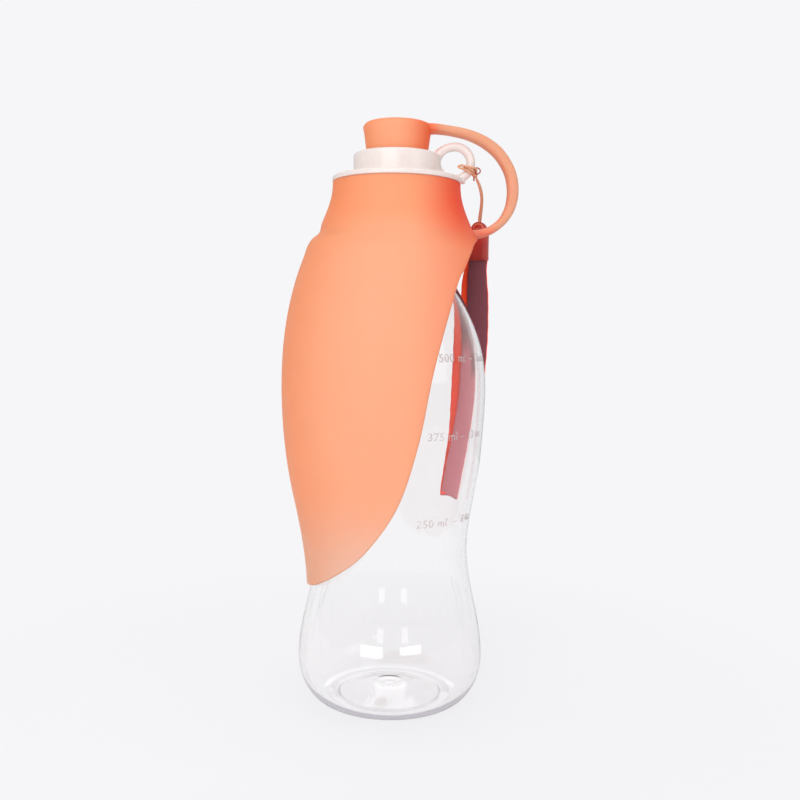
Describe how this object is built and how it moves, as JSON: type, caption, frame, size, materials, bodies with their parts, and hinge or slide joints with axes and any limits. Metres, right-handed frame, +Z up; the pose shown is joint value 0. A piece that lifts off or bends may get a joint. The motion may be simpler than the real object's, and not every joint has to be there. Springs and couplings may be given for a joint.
{
  "type": "dog travel water bottle",
  "caption": "Clear waisted bottle with a screw cap, a pull-out plug on a strap, a wrist lanyard and a silicone leaf that flips up into a drinking trough.",
  "frame": {"origin": "middle of the round foot, on the plane that the bottle stands on", "axes": "+Z up along the bottle's axis to the spout, -X to the tip of the leaf, +X to the bow of the plug's strap"},
  "size_m": [0.0959, 0.093, 0.2392],
  "materials": {
    "clear_plastic": "clear glossy copolyester",
    "seal_silicone": "matte translucent silicone",
    "white_plastic": "satin moulded polypropylene",
    "coral_silicone": "matte silicone, slightly translucent",
    "cord": "thin braided cord",
    "ferrule_plastic": "satin moulded crimp",
    "ribbon": "woven ribbon"
  },
  "bodies": {
    "bottle": {"bottle": "clear_plastic"},
    "riser": {"gasket": "seal_silicone"},
    "head": {"cap": "white_plastic", "sleeve": "coral_silicone", "plug_strap": "coral_silicone", "cord_hitch": "cord"},
    "trough": {"leaf": "coral_silicone"},
    "stopper": {"plug": "coral_silicone"},
    "lanyard": {"lanyard_cord": "cord", "ferrule": "ferrule_plastic", "wrist_ribbon": "ribbon"}
  },
  "joints": [
    {"name": "cap_rise", "type": "slide", "parent": "bottle", "child": "riser", "axis": [0, 0, 1], "range_m": [0, 0.006]},
    {"name": "cap_turn", "type": "hinge", "parent": "riser", "child": "head", "pos_m": [0, 0, 0.2152], "axis": [0, 0, 1], "range_deg": [0, 720]},
    {"name": "leaf_flip", "type": "hinge", "parent": "head", "child": "trough", "pos_m": [0, 0, 0.193], "axis": [1, 0, 0], "range_deg": [0, 180], "deforming": ["leaf"]},
    {"name": "plug_pull", "type": "slide", "parent": "head", "child": "stopper", "axis": [0, 0, 1], "range_m": [0, 0.018], "deforming": ["plug_strap"]},
    {"name": "lanyard_swing", "type": "hinge", "parent": "head", "child": "lanyard", "pos_m": [0.0319, 0.0006, 0.2191], "axis": [1, 0, 0], "range_deg": [0, 110]}
  ],
  "couplings": [
    {"joint": "cap_turn", "follows": "cap_rise", "rad_per_m": 2094.4}
  ]
}
